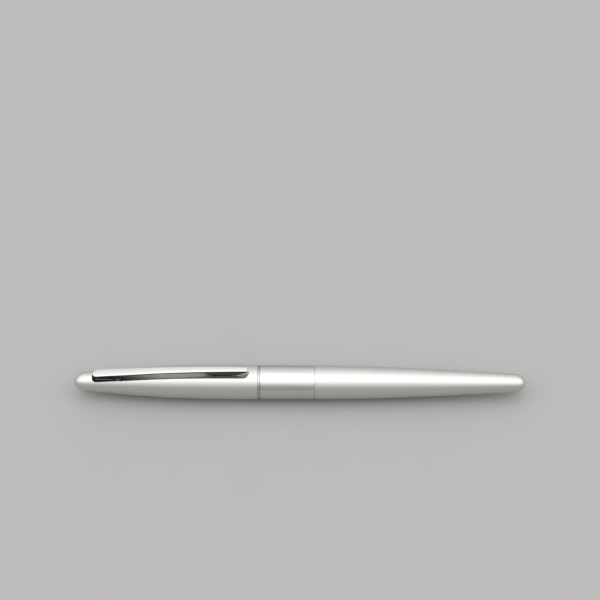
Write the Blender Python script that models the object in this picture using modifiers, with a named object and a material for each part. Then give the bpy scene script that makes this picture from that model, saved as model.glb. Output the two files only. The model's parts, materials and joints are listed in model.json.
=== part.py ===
"""Slim metal fountain pen, capped, with its cartridge converter inside.

The pen lies along X: the cap points to -X, the barrel's tail to +X and the clip to +Z.
The origin is on the pen's axis, in the seam between the cap and the barrel.
Every length below is in millimetres; the helpers turn them into metres.
"""
import math

import bmesh
import bpy
from mathutils import Vector

MM = 0.001

# Resolution of the round pieces
OUTER_SEGMENTS = 28
INNER_SEGMENTS = 24
ROD_SEGMENTS = 16

# Overall
CAP_END = -56.5
TAIL_END = 81.5
SEAM_HALF = 0.35          # the cap's mouth and the barrel's mouth stand this far from the origin
FIT = 0.06                # working gap between pieces that slide or turn on each other
EDGE = 0.14               # small chamfer on metal edges

# Outer shape of the cap and of the barrel: (x, radius), joined by one smooth curve
CAP_TAPER = [(-53.2, 2.95), (-48.7, 3.33), (-39.5, 4.15), (-30.2, 4.80), (-21.0, 5.15), (-12.0, 5.29),
             (0.0, 5.31)]
CAP_DOME = 3.3
BARREL_TAPER = [(0.0, 5.29), (17.5, 5.21), (31.0, 5.02), (43.3, 4.62), (55.6, 4.10), (67.9, 3.45),
                (78.4, 2.80)]
BARREL_DOME = 3.1

# Cap: its wall is thin at the mouth, where the section's shoulder enters, and thicker behind
MOUTH_WALL = 0.45
MOUTH_STEP = -1.85
CAP_WALL = [(-53.2, 0.90), (-43.4, 0.90), (-30.2, 0.72), (-18.0, 0.64), (-1.85, 0.62)]
CAP_CROWN_WALL = 1.6
SLOT_FROM = -50.75
SLOT_TO = -42.2
SLOT_HALF_WIDTH = 2.05
SLOT_CORNER = 1.1
# Flat under the clip: its half width along x; it narrows to nothing past the clip's tip
FLAT_FROM = -49.0
FLAT_WIDTH = [(-49.0, 1.70), (-46.0, 2.05), (-43.0, 2.18), (-36.0, 2.20), (-24.0, 2.16), (-3.0, 2.14)]
FLAT_ROUND = -4.7
FLAT_TO = -3.0
FLAT_CUT_HALF_WIDTH = 2.8    # the cutters reach past the cap's skin on both sides and above the clip
CUT_TOP = 8.0

# Liner inside the cap
LINER_WALL = 0.36
LINER_MOUTH = -2.0
LINER_END = -43.6
LINER_END_WALL = 1.0
SCREW_RADIUS = 0.62
SCREW_HEAD_RADIUS = 1.3
SCREW_HEAD = 0.75
SCREW_TIP = -47.6

# Clip: top line and half width along the clip, then its depth, which grows into a runner by the tip
CLIP_TOP = [(-50.9, 4.26), (-48.6, 4.56), (-39.4, 5.30), (-33.3, 5.86), (-27.2, 6.26), (-18.0, 6.62),
            (-8.0, 6.80), (-3.6, 6.76)]
CLIP_HALF_WIDTH = [(-50.9, 1.36), (-39.0, 1.27), (-27.0, 1.13), (-14.0, 0.98), (-5.4, 0.87), (-3.6, 0.84)]
CLIP_DEPTH = [(-51.0, 0.85), (-17.6, 0.85), (-16.0, 1.10), (-14.6, 1.46), (-13.0, 1.80), (-10.5, 1.84),
              (-7.6, 1.84), (-6.4, 1.70), (-5.4, 1.42), (-4.6, 1.12), (-3.9, 0.82), (-3.5, 0.62)]
CLIP_END = -50.6
CLIP_END_RADIUS = 1.4
CLIP_STRIP = 0.85
CLIP_CROWN = 0.08
CLIP_EDGE = 0.14
CLIP_STATIONS = [-50.55, -50.3, -49.9, -49.2, -45.0, -39.4, -33.3, -27.2, -21.0, -17.6, -16.0, -14.6, -13.0,
                 -10.5, -7.6, -6.4, -5.4, -4.6, -3.9, -3.47]
LEG_HALF_WIDTH = 0.85
LEG_TOP = 2.35
LEG_THICKNESS = 0.4
LEG_END = -44.6
HINGE_X = -49.95
HINGE_Z = LEG_TOP - LEG_THICKNESS / 2

# Grip section and its rings
SHOULDER_RADIUS = 4.70
SHOULDER_END = -1.5
GRIP_SHAPE = [(-4.5, 4.12), (-8.0, 4.03), (-12.5, 3.82), (-16.5, 3.73), (-19.0, 3.86)]
GRIP_FRONT = -20.5
GRIP_BORE = 3.20
COUNTERBORE = 3.68
COUNTERBORE_END = -6.1
CLUTCH_FROM = -4.25
CLUTCH_TO = -2.95
CLUTCH_RADIUS = 4.19
TRIM_RADIUS = 5.13

# Thread between the section and the barrel
THREAD_PITCH = 0.8
THREAD_TURNS = 5
THREAD_START = 3.2
MALE_CREST = 3.92
MALE_ROOT = 3.70
FEMALE_CREST = 4.02
FEMALE_ROOT = 4.22
COLLAR_BORE = 3.28
COLLAR_END = 8.6
BUSH_END = 11.5

# Barrel
BARREL_WALL = 0.55
BARREL_BORE = 4.43
BARREL_TAIL_WALL = 2.2
BAND_END = 16.95
NECK_RADIUS = 4.87

# Nib, feed and their housing
NIB_TIP = -40.8
NIB_REAR = -12.0
NIB_RADIUS = 2.62
NIB_SHEET = 0.27
NIB_DROP = 1.25
NIB_HALF_WIDTH = [(-40.8, 0.28), (-38.5, 0.72), (-34.0, 1.55), (-29.5, 2.28), (-26.0, 2.58), (-22.5, 2.50),
                  (-12.0, 2.45)]
BREATHER_X = -30.6
BREATHER_RADIUS = 0.62
SLIT_WIDTH = 0.12
FEED_TIP = -37.4
FEED_REAR = -11.0
FEED_STRAIGHT = -21.0     # in front of this the feed's belly rises towards its tip
FEED_HALF_WIDTH = [(-37.4, 0.45), (-34.5, 0.95), (-30.0, 1.55), (-25.0, 2.05), (-21.0, 2.24), (-11.0, 2.24)]
FEED_DEPTH = [(-37.4, 0.35), (-34.5, 1.00), (-30.0, 1.75), (-25.0, 2.35), (-21.0, 2.58), (-11.0, 2.58)]
FIN_COUNT = 8
FIN_PITCH = 1.35
FIN_FIRST = -22.8
FIN_GAP = 0.5
FIN_DEPTH = 0.85
HOUSING_FROM = -20.1
HOUSING_BORE = 2.70
NIPPLE_FLANGE_FROM = -10.8
NIPPLE_FLANGE_TO = -9.6
NIPPLE_TIP = -5.6
NIPPLE_RADIUS = 1.25
NIPPLE_BORE = 0.6

# Converter
CONVERTER_FRONT = -8.4
CONVERTER_MOUTH = 2.2
CONVERTER_RADIUS = 3.10
RESERVOIR_RADIUS = 2.50
TUBE_END = 22.0
SLEEVE_FROM = 13.0
SLEEVE_TO = 25.5
SLEEVE_WALL = 0.14
SEAL_FRONT = -5.3
SEAL_LENGTH = 3.0
ROD_RADIUS = 0.9
ROD_HEAD_RADIUS = 1.62
ROD_END = 24.6
NUT_FROM = 22.3
NUT_RADIUS = 2.95
NUT_NECK_RADIUS = 2.2
KNOB_FROM = 25.8
KNOB_END = 46.6
KNOB_RADIUS = 2.88


def clear_scene():
    """Remove every object, so that the script always starts from nothing."""
    for obj in list(bpy.data.objects):
        bpy.data.objects.remove(obj, do_unlink=True)


def new_collection(name):
    """Make a collection and link it to the scene."""
    made = bpy.data.collections.new(name)
    bpy.context.scene.collection.children.link(made)
    return made


def material(name, colour, roughness, metallic, transmission=0.0):
    """Make a Principled material."""
    made = bpy.data.materials.new(name)
    made.use_nodes = True
    shader = made.node_tree.nodes["Principled BSDF"]
    shader.inputs["Base Color"].default_value = (*colour, 1.0)
    shader.inputs["Roughness"].default_value = roughness
    shader.inputs["Metallic"].default_value = metallic
    shader.inputs["Transmission Weight"].default_value = transmission
    return made


def smooth(points, x):
    """Height at x of the smooth curve through a few (x, height) points, straight beyond its ends."""
    slopes = [(b[1] - a[1]) / (b[0] - a[0]) for a, b in zip(points, points[1:])]
    tangents = [slopes[0]] + [(a + b) / 2 for a, b in zip(slopes, slopes[1:])] + [slopes[-1]]
    if x <= points[0][0]:
        return points[0][1] + tangents[0] * (x - points[0][0])
    for i, (a, b) in enumerate(zip(points, points[1:])):
        if x <= b[0]:
            break
    else:
        return points[-1][1] + tangents[-1] * (x - points[-1][0])
    span = b[0] - a[0]
    t = (x - a[0]) / span
    rise = (2 * t ** 3 - 3 * t ** 2 + 1) * a[1] + (3 * t ** 2 - 2 * t ** 3) * b[1]
    lean = (t ** 3 - 2 * t ** 2 + t) * tangents[i] + (t ** 3 - t ** 2) * tangents[i + 1]
    return rise + lean * span


def steps(start, end, count):
    """Evenly spaced values from start to end, both included."""
    return [start + (end - start) * i / count for i in range(count + 1)]


def cap_radius(x):
    return smooth(CAP_TAPER, x)


def cap_bore(x):
    """Inner radius of the cap behind its mouth."""
    return cap_radius(x) - smooth(CAP_WALL, x)


def barrel_radius(x):
    return smooth(BARREL_TAPER, x)


def dome(radius_at, edge, length, count):
    """Round end of a tapered tube: points from its edge, where it leaves the taper, to its tip."""
    points = []
    for i in range(1, count):
        angle = math.pi / 2 * i / count
        x = edge + length * math.sin(angle)
        points.append((x, radius_at(x) * math.cos(angle)))
    return points + [(edge + length, 0.0)]


def finish(obj, home, mat, parent):
    """Put an object in its collection, under its body's empty, with its material."""
    obj.data.materials.append(mat)
    home.objects.link(obj)
    obj.parent = parent
    return obj


def turned(name, profile, home, mat, parent, segments=INNER_SEGMENTS, ring=True):
    """Turned piece about the pen's axis from (x, radius) points, outer side from the tail to the cap.

    ring=True closes the profile on itself; ring=False is for one whose ends lie on the axis.
    """
    mesh = bpy.data.meshes.new(name)
    verts = [Vector((radius, 0.0, x)) * MM for x, radius in profile]
    edges = [(i, i + 1) for i in range(len(verts) - 1)]
    if ring:
        edges.append((len(verts) - 1, 0))
    mesh.from_pydata(verts, edges, [])
    obj = bpy.data.objects.new(name, mesh)
    obj.rotation_euler = (0.0, math.pi / 2, 0.0)
    screw = obj.modifiers.new("Turn", "SCREW")
    screw.axis = "Z"
    screw.steps = segments
    screw.render_steps = segments
    screw.use_merge_vertices = True
    screw.merge_threshold = 0.000001
    screw.use_smooth_shade = True
    return finish(obj, home, mat, parent)


def loft_mesh(name, sections, ends=True):
    """Mesh through a row of sections, each a list of points; ends=True closes it at both ends."""
    frame = bmesh.new()
    rows = [[frame.verts.new(Vector(point) * MM) for point in section] for section in sections]
    count = len(rows[0])
    around = count if ends else count - 1
    for low, high in zip(rows, rows[1:]):
        for i in range(around):
            j = (i + 1) % count
            frame.faces.new((low[i], low[j], high[j], high[i]))
    if ends:
        frame.faces.new(rows[0])
        frame.faces.new(rows[-1])
    bmesh.ops.recalc_face_normals(frame, faces=frame.faces)
    mesh = bpy.data.meshes.new(name)
    frame.to_mesh(mesh)
    frame.free()
    return mesh


def lofted(name, sections, home, mat, parent, ends=True):
    """Smooth-shaded piece through a row of sections."""
    mesh = loft_mesh(name, sections, ends)
    mesh.shade_smooth()
    return finish(bpy.data.objects.new(name, mesh), home, mat, parent)


def block(low, high, corner=0.0):
    """Bmesh box from corner to corner, its upright edges rounded by corner."""
    frame = bmesh.new()
    bmesh.ops.create_cube(frame, size=1.0)
    size = Vector(high) - Vector(low)
    middle = (Vector(high) + Vector(low)) / 2
    for vert in frame.verts:
        vert.co = Vector((vert.co[i] * size[i] + middle[i] for i in range(3))) * MM
    if corner:
        upright = [edge for edge in frame.edges if abs(edge.verts[0].co.z - edge.verts[1].co.z) > 0.5 * MM]
        bmesh.ops.bevel(frame, geom=upright, offset=corner * MM, segments=4, profile=0.5, affect="EDGES")
    return frame


def cutter(name, boxes, home):
    """Wire guide made of one or more boxes (low, high, corner), for a Boolean to take away or add."""
    mesh = bpy.data.meshes.new(name)
    whole = bmesh.new()
    for low, high, corner in boxes:
        piece = block(low, high, corner)
        piece.to_mesh(mesh)
        piece.free()
        whole.from_mesh(mesh)
    whole.to_mesh(mesh)
    whole.free()
    return guide(name, mesh, home)


def guide(name, mesh, home):
    """Object that only shapes others: wire in the viewport and left out of renders."""
    obj = bpy.data.objects.new(name, mesh)
    obj.display_type = "WIRE"
    obj.hide_render = True
    home.objects.link(obj)
    return obj


def boolean(obj, other, operation):
    """Cut or join obj with a guide."""
    cut = obj.modifiers.new(operation.title(), "BOOLEAN")
    cut.operation = operation
    cut.solver = "EXACT"
    cut.object = other


def empty(name, home, parent=None, location=(0.0, 0.0, 0.0)):
    """Empty on a joint's axis, which carries the pieces of one moving body."""
    made = bpy.data.objects.new(name, None)
    made.location = Vector(location) * MM
    made.parent = parent
    home.objects.link(made)
    return made


def ridges(start, crest, root, inside=False):
    """Thread ridges as (x, radius) points, from the tail side to the cap side, or back if inside."""
    points = []
    for i in range(THREAD_TURNS):
        middle = start + THREAD_PITCH * (i + 0.5)
        for offset, radius in ((-0.36, root), (-0.10, crest), (0.10, crest), (0.36, root)):
            points.append((middle + THREAD_PITCH * offset, radius))
    return points if inside else points[::-1]


def flat_floor(x):
    """Height of the flat under the clip: a chord of the cap that narrows to nothing past the clip's tip."""
    half = smooth(FLAT_WIDTH, x)
    if x > FLAT_ROUND:
        half *= math.sqrt(max(0.0, 1.0 - ((x - FLAT_ROUND) / (FLAT_TO - FLAT_ROUND)) ** 2))
    return math.sqrt(cap_radius(x) ** 2 - half ** 2)


def make_cap_shell(home, guides, mat, parent):
    """Tapered metal cap with a domed crown, open at the seam, with the clip's slot and flat on top."""
    mouth = -SEAM_HALF
    crown = CAP_END + CAP_CROWN_WALL
    inner = [(crown, 0.0)] + [(x, cap_bore(x)) for x in steps(crown, MOUTH_STEP, 8)]
    inner += [(x, cap_radius(x) - MOUTH_WALL) for x in (MOUTH_STEP, mouth)]
    rim = cap_radius(mouth)
    outer = [(mouth, rim - EDGE)]
    for x in steps(mouth - EDGE, CAP_TAPER[0][0], 9):
        outer.append((x, cap_radius(x)))
    outer += dome(cap_radius, CAP_TAPER[0][0], -CAP_DOME, 6)
    shell = turned("cap_shell", inner + outer, home, mat, parent, OUTER_SEGMENTS, ring=False)
    low = (SLOT_FROM, -SLOT_HALF_WIDTH, 1.0)
    high = (SLOT_TO, SLOT_HALF_WIDTH, CUT_TOP)
    boolean(shell, cutter("clip_slot_cutter", [(low, high, SLOT_CORNER)], guides), "DIFFERENCE")
    stations = steps(FLAT_FROM, FLAT_ROUND, 7)
    run_out = FLAT_TO - FLAT_ROUND
    stations += [FLAT_ROUND + run_out * math.sin(turn) for turn in steps(0.0, math.pi / 2, 5)[1:]]
    floors = [(x, flat_floor(x)) for x in stations] + [(FLAT_TO + 0.3, cap_radius(FLAT_TO) + 0.1)]
    side = FLAT_CUT_HALF_WIDTH
    sections = [[(x, -side, z), (x, side, z), (x, side, CUT_TOP), (x, -side, CUT_TOP)] for x, z in floors]
    flat = loft_mesh("clip_flat_cutter", sections)
    boolean(shell, guide("clip_flat_cutter", flat, guides), "DIFFERENCE")


def make_clip_anchor(home, guides, mat, parent):
    """Plug wedged in the crown; its flat carries the clip's inner leg, its bore takes the liner's screw."""
    right = LINER_END - FIT
    left = CAP_END + CAP_CROWN_WALL + 0.2
    bore_end = SCREW_TIP - 0.4
    bore = SCREW_RADIUS + FIT
    outer = [(x, cap_bore(x) - FIT) for x in steps(right, left, 3)]
    profile = outer + [(left, 0.0)]
    profile = [(bore_end, 0.0), (bore_end, bore), (right, bore)] + profile
    anchor = turned("clip_anchor", profile, home, mat, parent, INNER_SEGMENTS, ring=False)
    low = (SLOT_FROM - 0.3, -5.0, LEG_TOP - LEG_THICKNESS - FIT)
    high = (right + 1.0, 5.0, 6.0)
    boolean(anchor, cutter("anchor_flat_cutter", [(low, high, 0.0)], guides), "DIFFERENCE")


def clip_section(x):
    """Clip at x, from its own hinge: a bevelled, crowned strip that is deeper and keeled at the runner."""
    end = max(0.0, CLIP_END + CLIP_END_RADIUS - x) / CLIP_END_RADIUS
    half = smooth(CLIP_HALF_WIDTH, x) * math.sqrt(1.0 - end ** 2)
    depth = smooth(CLIP_DEPTH, x)
    top = smooth(CLIP_TOP, x) - HINGE_Z
    foot = top - depth
    bevel = min(CLIP_EDGE, half / 2)
    keel = bevel + 0.25 * (depth - CLIP_STRIP)
    near_side = [(-half + keel, foot), (-half, foot + 0.12), (-half, top - bevel), (-half + bevel, top)]
    far_side = [(-y, z) for y, z in reversed(near_side)]
    return [(x - HINGE_X, y, z) for y, z in near_side + [(0.0, top + CLIP_CROWN)] + far_side]


def make_clip(home, guides, mat, parent):
    """Sprung clip: a strip over the cap with a runner under its tip and an inner leg through the slot."""
    clip = lofted("clip", [clip_section(x) for x in CLIP_STATIONS], home, mat, parent)
    left = HINGE_X - 0.25
    bottom = LEG_TOP - LEG_THICKNESS
    top = smooth(CLIP_TOP, left) - 0.2
    inset = LEG_HALF_WIDTH - 0.1
    upright = ((left, -LEG_HALF_WIDTH, bottom), (left + 0.5, LEG_HALF_WIDTH, top), 0.0)
    foot = ((left + 0.1, -inset, bottom + 0.02), (LEG_END, inset, LEG_TOP), 0.0)
    boolean(clip, cutter("clip_leg_upright", [upright], guides), "UNION")
    boolean(clip, cutter("clip_leg_foot", [foot], guides), "UNION")


def make_inner_cap(home, mat, parent):
    """Plastic liner that keeps the nib from drying and grips the section's clutch ring."""
    stations = steps(LINER_MOUTH, LINER_END, 6)
    outer = [(x, cap_bore(x) - FIT) for x in stations]
    inner = [(x, cap_bore(x) - FIT - LINER_WALL) for x in stations[:-1]]
    wall = LINER_END + LINER_END_WALL
    inner.append((wall, cap_bore(wall) - FIT - LINER_WALL))
    hole = SCREW_RADIUS + FIT
    profile = outer + [(LINER_END, hole), (wall, hole)] + inner[::-1]
    turned("inner_cap", profile, home, mat, parent, OUTER_SEGMENTS)


def make_inner_cap_screw(home, mat, parent):
    """Screw through the liner's end wall into the anchor."""
    under_head = LINER_END + LINER_END_WALL + FIT
    profile = [(under_head + SCREW_HEAD, 0.0), (under_head + SCREW_HEAD, SCREW_HEAD_RADIUS - 0.25),
               (under_head + SCREW_HEAD - 0.25, SCREW_HEAD_RADIUS), (under_head, SCREW_HEAD_RADIUS),
               (under_head, SCREW_RADIUS), (SCREW_TIP + 0.3, SCREW_RADIUS), (SCREW_TIP, SCREW_RADIUS - 0.25),
               (SCREW_TIP, 0.0)]
    turned("inner_cap_screw", profile, home, mat, parent, ROD_SEGMENTS, ring=False)


def make_grip_section(home, mat, parent):
    """Black grip with a shoulder that closes the cap's mouth and a groove for the clutch ring."""
    groove = CLUTCH_RADIUS - 0.25
    body = GRIP_SHAPE[0][1]
    outer = [(-SEAM_HALF, SHOULDER_RADIUS - EDGE), (-SEAM_HALF - EDGE, SHOULDER_RADIUS),
             (SHOULDER_END, SHOULDER_RADIUS), (SHOULDER_END, body), (CLUTCH_TO + FIT, body),
             (CLUTCH_TO + FIT, groove), (CLUTCH_FROM - FIT, groove), (CLUTCH_FROM - FIT, body)]
    outer += [(x, smooth(GRIP_SHAPE, x)) for x in steps(-6.0, GRIP_SHAPE[-1][0], 6)]
    outer += [(GRIP_FRONT + 0.5, 3.82), (GRIP_FRONT + 0.1, 3.66), (GRIP_FRONT, 3.45)]
    inner = [(GRIP_FRONT, GRIP_BORE), (COUNTERBORE_END, GRIP_BORE), (COUNTERBORE_END, COUNTERBORE),
             (-SEAM_HALF, COUNTERBORE)]
    turned("grip_section", outer + inner, home, mat, parent, INNER_SEGMENTS)


def make_tube(name, right, left, radius, bore, home, mat, parent, edge=0.08, segments=INNER_SEGMENTS):
    """Plain ring or tube with chamfered outer edges."""
    profile = [(right, radius - edge), (right - edge, radius), (left + edge, radius), (left, radius - edge),
               (left, bore), (right, bore)]
    turned(name, profile, home, mat, parent, segments)


def make_thread_collar(home, mat, parent):
    """Brass collar pressed into the section, with the male thread for the barrel."""
    outer = [(COLLAR_END, MALE_ROOT - 0.12)] + ridges(THREAD_START, MALE_CREST, MALE_ROOT)
    outer += [(COUNTERBORE_END + 0.1, COUNTERBORE - FIT)]
    inner = [(COUNTERBORE_END + 0.1, COLLAR_BORE), (COLLAR_END, COLLAR_BORE)]
    profile = [outer[0], (THREAD_START + THREAD_PITCH * THREAD_TURNS + 0.3, MALE_ROOT)] + outer[1:-1]
    profile += [(0.6, MALE_ROOT - 0.04), (0.6, COUNTERBORE - FIT), outer[-1]] + inner
    turned("thread_collar", profile, home, mat, parent, INNER_SEGMENTS)


def nib_centre(x):
    """Height of the centre line of the nib's curved sheet, which droops towards the tip."""
    reach = max(0.0, (-22.0 - x) / (-22.0 - NIB_TIP))
    return -NIB_DROP * reach ** 1.6


def nib_section(x):
    """Nib's outer surface at x: an arc as wide as the nib is there."""
    half = smooth(NIB_HALF_WIDTH, x)
    spread = math.asin(min(0.99, half / NIB_RADIUS))
    points = []
    for turn in steps(-1.0, 1.0, 8):
        angle = spread * turn
        points.append((x, NIB_RADIUS * math.sin(angle), nib_centre(x) + NIB_RADIUS * math.cos(angle)))
    return points


def make_nib(home, guides, mat, parent):
    """Curved steel nib with a breather hole and a slit to its tip."""
    stations = [NIB_TIP, -39.8, -38.0, -36.0, -33.5, -31.0, -28.5, -26.0, -23.5, -21.0, NIB_REAR]
    nib = lofted("nib", [nib_section(x) for x in stations], home, mat, parent, ends=False)
    if nib.data.polygons[0].normal.z < 0:
        nib.data.flip_normals()
    sheet = nib.modifiers.new("Sheet", "SOLIDIFY")
    sheet.thickness = NIB_SHEET * MM
    sheet.offset = -1.0
    slit = ((NIB_TIP - 1.0, -SLIT_WIDTH / 2, -1.0), (BREATHER_X, SLIT_WIDTH / 2, 4.0), 0.0)
    boolean(nib, cutter("nib_slit_cutter", [slit], guides), "DIFFERENCE")
    hole = bmesh.new()
    bmesh.ops.create_cone(hole, cap_ends=True, segments=12, radius1=BREATHER_RADIUS * MM,
                          radius2=BREATHER_RADIUS * MM, depth=6.0 * MM)
    bmesh.ops.translate(hole, verts=hole.verts, vec=Vector((BREATHER_X, 0.0, 2.0)) * MM)
    mesh = bpy.data.meshes.new("breather_hole_cutter")
    hole.to_mesh(mesh)
    hole.free()
    boolean(nib, guide("breather_hole_cutter", mesh, guides), "DIFFERENCE")


def feed_section(x):
    """Feed at x: its top follows the underside of the nib, its belly is half an ellipse."""
    half = smooth(FEED_HALF_WIDTH, x)
    depth = smooth(FEED_DEPTH, x)
    ceiling = NIB_RADIUS - NIB_SHEET - FIT
    edge = nib_centre(x) + math.sqrt(ceiling ** 2 - half ** 2)
    rise = 0.045 * max(0.0, FEED_STRAIGHT - x)
    floor = min(edge - 0.1, -depth + rise * (edge - 0.1 + depth))
    top = []
    for y in steps(-half, half, 4):
        top.append((x, y, nib_centre(x) + math.sqrt(ceiling ** 2 - y ** 2)))
    belly = []
    for i in range(1, 8):
        angle = math.pi * i / 8
        belly.append((x, half * math.cos(angle), edge - (edge - floor) * math.sin(angle)))
    return top + belly


def make_feed(home, guides, mat, parent):
    """Black feed under the nib, its belly cut into fins."""
    stations = [FEED_TIP, -36.4, -34.5, -32.0, -29.0, -26.0, -23.5, -21.0, FEED_REAR]
    feed = lofted("feed", [feed_section(x) for x in stations], home, mat, parent)
    gaps = []
    for i in range(FIN_COUNT):
        right = FIN_FIRST - FIN_PITCH * i
        lowest = min(point[2] for point in feed_section(right))
        gaps.append(((right - FIN_GAP, -3.0, -4.0), (right, 3.0, lowest + FIN_DEPTH), 0.0))
    boolean(feed, cutter("feed_fin_cutter", gaps, guides), "DIFFERENCE")


def make_ink_nipple(home, mat, parent):
    """Hollow spigot at the back of the feed that the converter or a cartridge pushes onto."""
    flange = GRIP_BORE - FIT
    profile = [(NIPPLE_TIP, NIPPLE_RADIUS - 0.3), (NIPPLE_TIP - 0.5, NIPPLE_RADIUS),
               (NIPPLE_FLANGE_TO, NIPPLE_RADIUS), (NIPPLE_FLANGE_TO, flange), (NIPPLE_FLANGE_FROM, flange),
               (NIPPLE_FLANGE_FROM, NIPPLE_BORE), (NIPPLE_TIP, NIPPLE_BORE)]
    turned("ink_nipple", profile, home, mat, parent)


def make_barrel_shell(home, mat, parent):
    """Long tapered satin barrel with a domed tail and a reduced neck under the polished band."""
    def bore(x):
        return min(BARREL_BORE, barrel_radius(x) - BARREL_WALL)
    dome_edge = BARREL_TAPER[-1][0]
    outer = dome(barrel_radius, dome_edge, BARREL_DOME, 6)[::-1]
    outer += [(x, barrel_radius(x)) for x in steps(dome_edge, BAND_END + FIT, 8)]
    outer += [(BAND_END + FIT, NECK_RADIUS), (SEAM_HALF + 0.1, NECK_RADIUS)]
    inner = [(SEAM_HALF + 0.1, BARREL_BORE)]
    inner += [(x, bore(x)) for x in steps(32.0, TAIL_END - BARREL_TAIL_WALL, 5)]
    inner += [(TAIL_END - BARREL_TAIL_WALL, 0.0)]
    turned("barrel_shell", outer + inner, home, mat, parent, OUTER_SEGMENTS, ring=False)


def make_barrel_band(home, mat, parent):
    """Polished sleeve pressed on the barrel's neck."""
    outer = [(BAND_END, barrel_radius(BAND_END) - EDGE)]
    outer += [(x, barrel_radius(x)) for x in steps(BAND_END - EDGE, SEAM_HALF + EDGE, 2)]
    outer += [(SEAM_HALF, barrel_radius(SEAM_HALF) - EDGE)]
    bore = NECK_RADIUS + FIT
    turned("barrel_band", outer + [(SEAM_HALF, bore), (BAND_END, bore)], home, mat, parent, OUTER_SEGMENTS)


def make_barrel_bush(home, mat, parent):
    """Threaded insert in the barrel's mouth."""
    left = SEAM_HALF + 0.4
    outer = [(BUSH_END, BARREL_BORE - FIT), (left, BARREL_BORE - FIT)]
    inner = [(left, FEMALE_ROOT)] + ridges(THREAD_START, FEMALE_CREST, FEMALE_ROOT, inside=True)
    profile = outer + inner + [(BUSH_END, FEMALE_ROOT)]
    turned("barrel_bush", profile, home, mat, parent, INNER_SEGMENTS)


def make_converter_tube(home, mat, parent):
    """Clear ink reservoir with a narrow mouth that fits over the nipple."""
    mouth = NIPPLE_RADIUS + FIT
    floor = CONVERTER_FRONT + CONVERTER_MOUTH
    profile = [(TUBE_END, CONVERTER_RADIUS), (CONVERTER_FRONT + 0.4, CONVERTER_RADIUS),
               (CONVERTER_FRONT, CONVERTER_RADIUS - 0.4), (CONVERTER_FRONT, mouth), (floor, mouth),
               (floor, RESERVOIR_RADIUS), (TUBE_END, RESERVOIR_RADIUS)]
    turned("converter_tube", profile, home, mat, parent)


def make_converter_sleeve(home, mat, parent):
    """Metal sleeve that joins the reservoir to the knob and keeps the drive nut in place."""
    bore = CONVERTER_RADIUS + FIT
    radius = bore + SLEEVE_WALL
    lip = NUT_NECK_RADIUS + FIT * 2
    profile = [(SLEEVE_TO, radius - 0.1), (SLEEVE_TO - 0.1, radius), (SLEEVE_FROM, radius),
               (SLEEVE_FROM, bore), (SLEEVE_TO - 0.5, bore), (SLEEVE_TO - 0.5, lip), (SLEEVE_TO, lip)]
    turned("converter_sleeve", profile, home, mat, parent)


def make_drive_nut(home, mat, parent):
    """Nut that the knob turns; it draws the threaded rod back and forth."""
    shoulder = SLEEVE_TO - 0.5 - FIT * 2
    neck_end = KNOB_FROM + 1.3
    bore = ROD_RADIUS + FIT * 1.5
    profile = [(neck_end, NUT_NECK_RADIUS), (shoulder, NUT_NECK_RADIUS), (shoulder, NUT_RADIUS),
               (NUT_FROM, NUT_RADIUS), (NUT_FROM, bore), (neck_end, bore)]
    turned("drive_nut", profile, home, mat, parent)


def make_converter_knob(home, mat, parent):
    """Hollow turning knob with a domed end, long enough to take in the rod."""
    socket = NUT_NECK_RADIUS + FIT
    socket_end = KNOB_FROM + 1.4
    hollow = ROD_RADIUS + 0.4
    profile = [(KNOB_END - 1.2, 0.0), (KNOB_END - 1.2, hollow), (socket_end, hollow), (socket_end, socket),
               (KNOB_FROM, socket)]
    outer = [(KNOB_FROM, KNOB_RADIUS - 0.15), (KNOB_FROM + 0.15, KNOB_RADIUS), (KNOB_END - 0.9, KNOB_RADIUS),
             (KNOB_END - 0.2, KNOB_RADIUS - 0.45), (KNOB_END, KNOB_RADIUS - 1.1), (KNOB_END, 0.0)]
    turned("converter_knob", outer[::-1] + profile[::-1], home, mat, parent, ring=False)


def make_piston_seal(home, mat, parent):
    """Double-lipped rubber seal on the rod's head."""
    back = SEAL_FRONT + SEAL_LENGTH
    lip = RESERVOIR_RADIUS - FIT
    waist = lip - 0.35
    recess = ROD_HEAD_RADIUS + FIT
    profile = [(SEAL_FRONT + 1.0, 0.0), (SEAL_FRONT + 1.0, recess), (back, recess), (back, lip),
               (back - 0.7, lip), (back - 0.95, waist), (SEAL_FRONT + 0.95, waist), (SEAL_FRONT + 0.7, lip),
               (SEAL_FRONT + 0.15, lip), (SEAL_FRONT, lip - 0.5), (SEAL_FRONT, 0.0)]
    turned("piston_seal", profile, home, mat, parent, ring=False)


def make_piston_rod(home, mat, parent):
    """Threaded rod with the head that carries the seal."""
    head_front = SEAL_FRONT + 1.0 + FIT
    head_back = SEAL_FRONT + SEAL_LENGTH - 0.1
    profile = [(ROD_END, 0.0), (ROD_END, ROD_RADIUS - 0.2), (ROD_END - 0.2, ROD_RADIUS),
               (head_back, ROD_RADIUS), (head_back, ROD_HEAD_RADIUS), (head_front, ROD_HEAD_RADIUS),
               (head_front, 0.0)]
    turned("piston_rod", profile, home, mat, parent, ROD_SEGMENTS, ring=False)


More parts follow.
